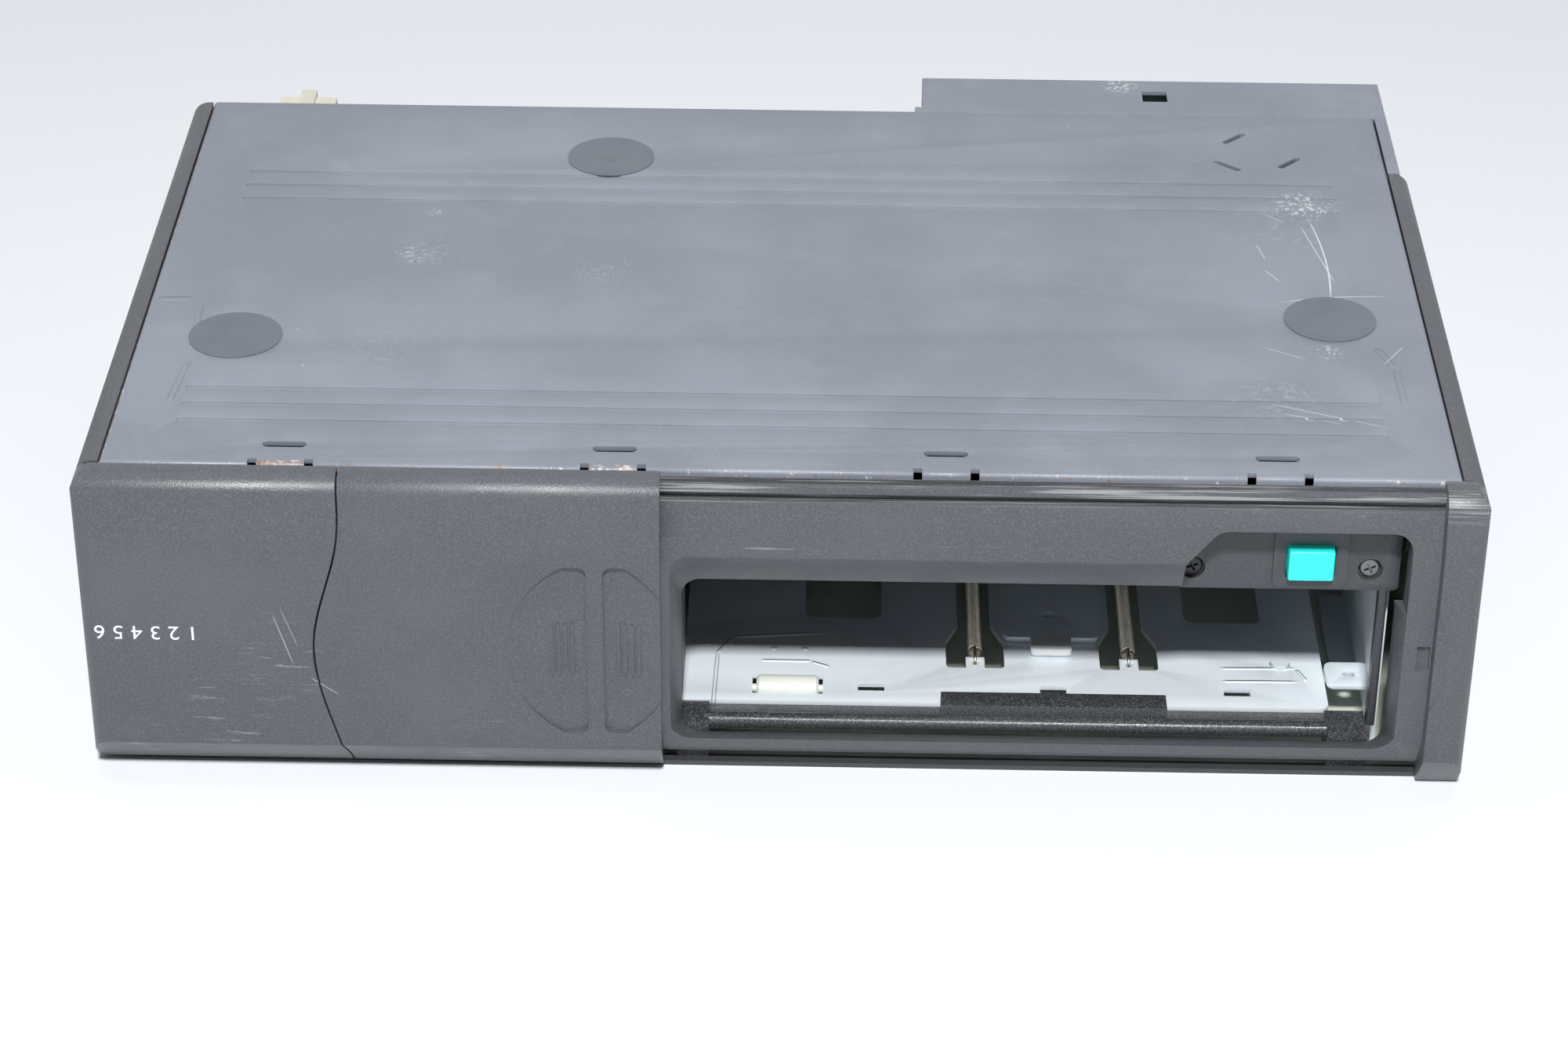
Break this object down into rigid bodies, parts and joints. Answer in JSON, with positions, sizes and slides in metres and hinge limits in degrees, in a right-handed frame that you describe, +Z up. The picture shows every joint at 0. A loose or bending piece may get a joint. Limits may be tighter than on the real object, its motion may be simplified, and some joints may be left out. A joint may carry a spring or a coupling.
{
  "type": "car cd changer",
  "caption": "Car disc changer with sliding front door open on its empty magazine slot, eject button, lifting player deck and feed mechanism inside.",
  "frame": {"origin": "centre of the footprint, on the surface that the unit lies on", "axes": "+X right as seen from the front, +Y back, +Z up in the pose of the picture, which is upside down for the product"},
  "size_m": [0.255, 0.1742, 0.065],
  "materials": {
    "plate_paint": "grey textured paint, scuffed",
    "seal": "dark smooth sticker",
    "tray": "pale satin coat",
    "side_plastic": "dark satin grain",
    "front_plastic": "dark speckled grain",
    "box_paint": "grey textured paint",
    "dark_plastic": "satin",
    "cream_plastic": "satin",
    "board": "green lacquered board",
    "zinc": "zinc plated, rolled",
    "steel": "satin",
    "bright_steel": "polished",
    "spring_wire": "dull nickel",
    "button": "turquoise",
    "white_plastic": "satin",
    "rubber": "matte",
    "lens": "coated"
  },
  "bodies": {
    "case": {"bay_roof": "zinc", "bracket_screws": "steel", "button_spring": "spring_wire", "cable_socket": "cream_plastic", "cam_rivets": "steel", "cover_screws": "steel", "dampers": "rubber", "eject_bracket": "dark_plastic", "floor_plate": "zinc", "front_frame": "front_plastic", "guide_bar": "dark_plastic", "hole_seals": "seal", "left_ejector_spring": "spring_wire", "left_front_panel": "front_plastic", "left_side_cover": "side_plastic", "left_side_plate": "tray", "lift_motor": "steel", "lower_cover": "tray", "main_board": "board", "mount_nuts": "steel", "rear_box": "box_paint", "rear_socket": "dark_plastic", "right_ejector_spring": "spring_wire", "right_side_cover": "side_plastic", "right_side_plate": "tray", "side_guide": "zinc", "upper_cover": "plate_paint"},
    "outer_door": {"outer_door": "front_plastic"},
    "inner_door": {"inner_door": "front_plastic"},
    "eject_button": {"eject_button": "button"},
    "magazine_latch": {"magazine_latch": "steel"},
    "ejector": {"ejector_slider": "zinc", "slider_shoe": "white_plastic"},
    "floor_roller": {"floor_roller": "cream_plastic"},
    "player_deck": {"player_deck": "steel", "spindle_motor": "steel", "guide_rods": "bright_steel", "rod_holders": "dark_plastic", "sled_motor": "steel"},
    "turntable": {"turntable": "dark_plastic"},
    "pickup": {"pickup_sled": "dark_plastic", "pickup_lens": "lens"},
    "lead_screw": {"lead_screw": "steel"},
    "clamp_arm": {"clamp_arm": "steel"},
    "clamp_puck": {"clamp_puck": "white_plastic"},
    "lift_cam": {"lift_cam_plate": "steel"}
  },
  "joints": [
    {"name": "outer_door_slide", "type": "slide", "parent": "case", "child": "outer_door", "axis": [1, 0, 0], "range_m": [0, 0.1407]},
    {"name": "inner_door_slide", "type": "slide", "parent": "case", "child": "inner_door", "axis": [1, 0, 0], "range_m": [0, 0.088]},
    {"name": "eject_button_press", "type": "slide", "parent": "case", "child": "eject_button", "axis": [0, 1, 0], "range_m": [0, 0.0016], "stiffness_N_per_m": 300, "springref_m": -0.001, "deforming": ["button_spring"]},
    {"name": "latch_swing", "type": "hinge", "parent": "case", "child": "magazine_latch", "pos_m": [0.1065, -0.0591, 0.0456], "axis": [0, 0, -1], "range_deg": [0, 9.8]},
    {"name": "ejector_slide", "type": "slide", "parent": "case", "child": "ejector", "axis": [0, 1, 0], "range_m": [0, 0.028], "stiffness_N_per_m": 60, "springref_m": -0.01, "deforming": ["left_ejector_spring", "right_ejector_spring"]},
    {"name": "roller_spin", "type": "hinge", "parent": "case", "child": "floor_roller", "pos_m": [0.0016, -0.0646, 0.008], "axis": [1, 0, 0], "continuous": true},
    {"name": "deck_lift", "type": "slide", "parent": "case", "child": "player_deck", "axis": [0, 0, 1], "range_m": [0, 0.02]},
    {"name": "cam_slide", "type": "slide", "parent": "case", "child": "lift_cam", "axis": [0, 1, 0], "range_m": [0, 0.02]},
    {"name": "turntable_spin", "type": "hinge", "parent": "player_deck", "child": "turntable", "pos_m": [-0.062, -0.0331, 0.0182], "axis": [0, 0, 1], "continuous": true},
    {"name": "pickup_travel", "type": "slide", "parent": "player_deck", "child": "pickup", "axis": [0, 1, 0], "range_m": [0, 0.034]},
    {"name": "lead_screw_turn", "type": "hinge", "parent": "player_deck", "child": "lead_screw", "pos_m": [-0.087, 0.0109, 0.0218], "axis": [0, 1, 0], "range_deg": [0, 4081]},
    {"name": "clamp_arm_swing", "type": "hinge", "parent": "player_deck", "child": "clamp_arm", "pos_m": [-0.062, 0.0499, 0.031], "axis": [1, 0, 0], "range_deg": [0, 3.2]},
    {"name": "puck_spin", "type": "hinge", "parent": "clamp_arm", "child": "clamp_puck", "pos_m": [-0.062, -0.0331, 0.03], "axis": [0, 0, 1], "continuous": true}
  ],
  "couplings": [
    {"joint": "inner_door_slide", "follows": "outer_door_slide", "ratio": 0.6254},
    {"joint": "latch_swing", "follows": "eject_button_press", "rad_per_m": 106.38},
    {"joint": "cam_slide", "follows": "deck_lift", "ratio": 1},
    {"joint": "lead_screw_turn", "follows": "pickup_travel", "rad_per_m": 2094.4}
  ]
}
